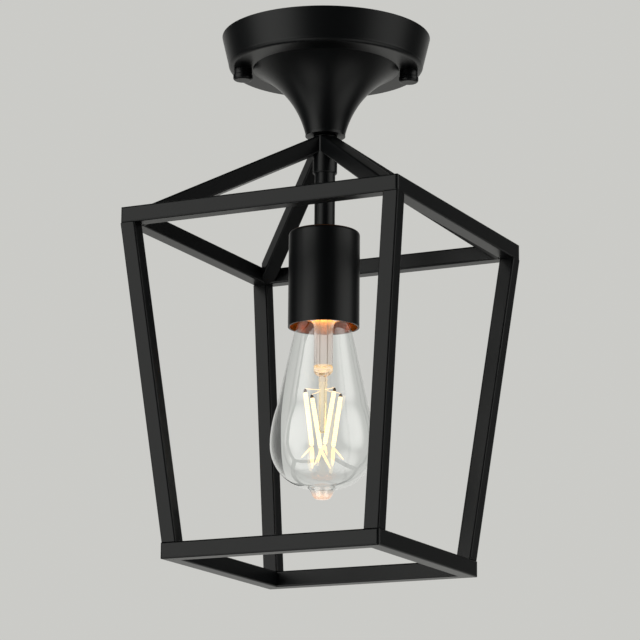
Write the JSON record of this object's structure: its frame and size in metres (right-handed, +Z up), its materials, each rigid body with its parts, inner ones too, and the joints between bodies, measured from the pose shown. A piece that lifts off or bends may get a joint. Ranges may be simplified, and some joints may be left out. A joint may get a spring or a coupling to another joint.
{
  "type": "porch ceiling lantern",
  "caption": "Semi-flush ceiling lantern: tapered open cage of square black tube under a round canopy, around a screw-in filament-style lamp.",
  "frame": {"origin": "centre of the two box-screw holes of the ceiling strap, on the ceiling plane", "axes": "+Z up, out of the ceiling face; the cage's sides face +X, -X, +Y and -Y"},
  "size_m": [0.184, 0.184, 0.333],
  "materials": {
    "black_powder_coat": "satin black powder coat on steel",
    "zinc_plated_steel": "bright zinc plate",
    "green_plated_steel": "green passivated steel",
    "glazed_ceramic": "glazed white porcelain",
    "brass": "bright rolled brass",
    "nickel_plated_brass": "bright nickel plate on rolled brass",
    "black_glass": "black insulating glass",
    "solder": "tin solder",
    "clear_glass": "clear blown glass",
    "filament_phosphor": "amber silicone over light-giving chips",
    "bare_wire": "drawn nickel-iron wire",
    "black_insulation": "smooth insulation",
    "white_insulation": "smooth insulation",
    "green_insulation": "smooth insulation",
    "grey_nylon": "moulded nylon"
  },
  "bodies": {
    "fixture": {"bottom_rail_back": "black_powder_coat", "bottom_rail_front": "black_powder_coat", "bottom_rail_left": "black_powder_coat", "bottom_rail_right": "black_powder_coat", "canopy_cup": "black_powder_coat", "canopy_nipple": "zinc_plated_steel", "canopy_studs": "zinc_plated_steel", "canopy_trumpet": "black_powder_coat", "ceiling_crossbar": "zinc_plated_steel", "contact_foot": "brass", "earth_lead": "green_insulation", "earth_screw": "green_plated_steel", "hub_sleeve": "black_powder_coat", "lampholder_body": "glazed_ceramic", "lampholder_cap": "glazed_ceramic", "leg_back_left": "black_powder_coat", "leg_back_right": "black_powder_coat", "leg_front_left": "black_powder_coat", "leg_front_right": "black_powder_coat", "line_lead": "black_insulation", "line_terminal": "brass", "neutral_lead": "white_insulation", "nipple_nut": "zinc_plated_steel", "nipple_washer": "zinc_plated_steel", "roof_bar_back_left": "black_powder_coat", "roof_bar_back_right": "black_powder_coat", "roof_bar_front_left": "black_powder_coat", "roof_bar_front_right": "black_powder_coat", "screw_shell": "brass", "shell_terminal": "zinc_plated_steel", "socket_cup": "black_powder_coat", "socket_nipple": "zinc_plated_steel", "socket_nut": "zinc_plated_steel", "stem_tube": "black_powder_coat", "stud_lock_nuts": "zinc_plated_steel", "top_rail_back": "black_powder_coat", "top_rail_front": "black_powder_coat", "top_rail_left": "black_powder_coat", "top_rail_right": "black_powder_coat", "wire_connectors": "grey_nylon"},
    "lamp_travel_body": {"lamp_tip_contact": "solder"},
    "lamp": {"lamp_base_shell": "nickel_plated_brass", "lamp_base_insulator": "black_glass", "lamp_glass": "clear_glass", "lamp_stem_glass": "clear_glass", "filament_sticks": "filament_phosphor", "filament_supports": "bare_wire", "lamp_lead_wires": "bare_wire"},
    "nut_travel_left": {"cap_washer_left": "black_powder_coat"},
    "nut_left": {"cap_nut_left": "black_powder_coat"},
    "nut_travel_right": {"cap_washer_right": "black_powder_coat"},
    "nut_right": {"cap_nut_right": "black_powder_coat"},
    "contact": {"contact_tongue": "brass"}
  },
  "joints": [
    {"name": "lamp_travel", "type": "slide", "parent": "fixture", "child": "lamp_travel_body", "axis": [0, 0, -1], "range_m": [0, 0.01634]},
    {"name": "lamp_turn", "type": "hinge", "parent": "lamp_travel_body", "child": "lamp", "pos_m": [0, 0, -0.16], "axis": [0, 0, -1], "range_deg": [0, 1620]},
    {"name": "contact_spring", "type": "hinge", "parent": "fixture", "child": "contact", "pos_m": [0.003, 0, -0.1464], "axis": [0, 1, 0], "range_deg": [0, 8], "stiffness_Nm_per_rad": 0.004},
    {"name": "cap_nut_left_travel", "type": "slide", "parent": "fixture", "child": "nut_travel_left", "axis": [0, 0, -1], "range_m": [0, 0.00561]},
    {"name": "cap_nut_left_turn", "type": "hinge", "parent": "nut_travel_left", "child": "nut_left", "pos_m": [-0.04598, -0.02343, -0.0205], "axis": [0, 0, -1], "range_deg": [0, 2880]},
    {"name": "cap_nut_right_travel", "type": "slide", "parent": "fixture", "child": "nut_travel_right", "axis": [0, 0, -1], "range_m": [0, 0.00561]},
    {"name": "cap_nut_right_turn", "type": "hinge", "parent": "nut_travel_right", "child": "nut_right", "pos_m": [0.04598, 0.02343, -0.0205], "axis": [0, 0, -1], "range_deg": [0, 2880]}
  ],
  "couplings": [
    {"joint": "lamp_travel", "follows": "lamp_turn", "m_per_rad": 0.00057751},
    {"joint": "cap_nut_left_travel", "follows": "cap_nut_left_turn", "m_per_rad": 0.00011141},
    {"joint": "cap_nut_right_travel", "follows": "cap_nut_right_turn", "m_per_rad": 0.00011141}
  ]
}
